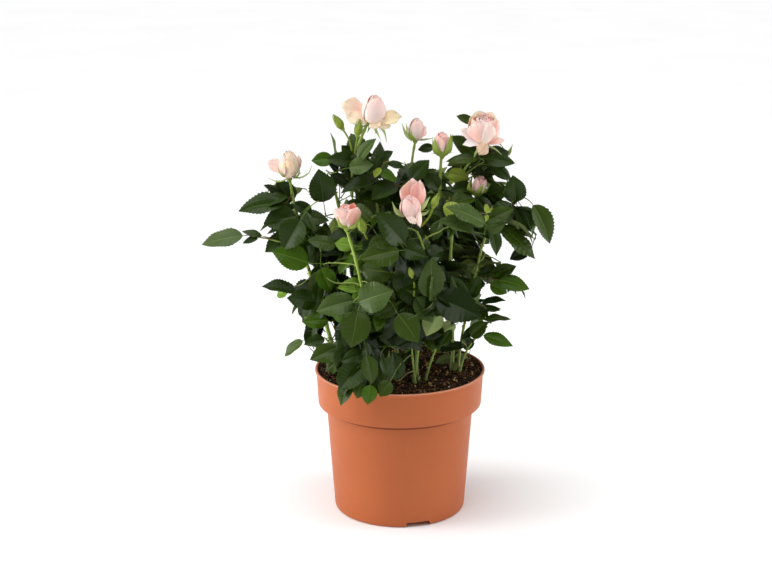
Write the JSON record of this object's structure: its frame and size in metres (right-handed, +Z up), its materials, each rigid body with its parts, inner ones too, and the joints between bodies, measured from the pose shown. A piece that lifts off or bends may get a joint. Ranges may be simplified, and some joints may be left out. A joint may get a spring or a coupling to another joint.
{
  "type": "potted rose bush",
  "caption": "Patio rose bush with upright leafy canes, pale pink blooms and buds, planted in a tapered nursery pot with a collar rim.",
  "frame": {"origin": "centre of the flat hub on the underside of the pot, on the surface the pot stands on", "axes": "+Z up along the pot's axis, -Y towards the front of the plant, +X to the right seen from the front"},
  "size_m": [0.3807, 0.2395, 0.4717],
  "materials": {
    "pot_plastic": "satin moulded plastic, terracotta colour",
    "potting_soil": "moist dark potting mix with fibres and white grains",
    "cane_bark": "smooth green bark with nodes and prickles",
    "flower_stalk": "pale green young stem",
    "leaf": "satin dark green leaf, paler underneath",
    "petal": "soft pale pink petal with cream edges"
  },
  "bodies": {
    "root": {"pot": "pot_plastic", "soil": "potting_soil", "cane_front": "cane_bark", "cane_centre": "cane_bark", "cane_front_top": "cane_bark", "cane_front_low": "cane_bark", "cane_centre_top": "cane_bark", "cane_centre_right": "cane_bark", "cane_centre_low": "cane_bark", "cane_right_inner": "cane_bark", "cane_right_outer": "cane_bark", "cane_right_low": "cane_bark", "cane_left_front": "cane_bark", "cane_left_top": "cane_bark", "cane_left_back": "cane_bark", "cane_back_top": "cane_bark", "cane_back_left": "cane_bark", "cane_back_right": "cane_bark", "stalk_top_left": "flower_stalk", "stalk_top_centre": "flower_stalk", "stalk_top_right": "flower_stalk", "stalk_right_inner": "flower_stalk", "stalk_left": "flower_stalk", "foliage_front_rim": "leaf", "foliage_low_left": "leaf", "foliage_left_lower": "leaf", "foliage_left_inner": "leaf", "foliage_centre_left": "leaf", "foliage_centre_low": "leaf", "foliage_centre_right": "leaf", "foliage_centre": "leaf", "foliage_centre_upper": "leaf", "foliage_left_mid": "leaf", "foliage_left_centre": "leaf", "foliage_left_wing": "leaf", "foliage_left_tip": "leaf", "foliage_left_upper": "leaf", "foliage_top_left": "leaf", "foliage_top_centre": "leaf", "foliage_upper_centre": "leaf", "foliage_top_mid_right": "leaf", "foliage_top_right": "leaf", "foliage_right_upper": "leaf", "foliage_right_shoulder": "leaf", "foliage_right_tip": "leaf", "foliage_right_mid": "leaf", "foliage_right_lower": "leaf", "foliage_back_left": "leaf", "foliage_back_right": "leaf", "foliage_back_upper": "leaf", "foliage_back_low": "leaf", "bloom_top_left": "petal", "bloom_top_centre": "petal", "bloom_top_right": "petal", "bloom_far_right": "petal", "bloom_right_inner": "petal", "bloom_left": "petal", "bloom_mid_left": "petal", "bloom_centre": "petal"}
  },
  "joints": []
}
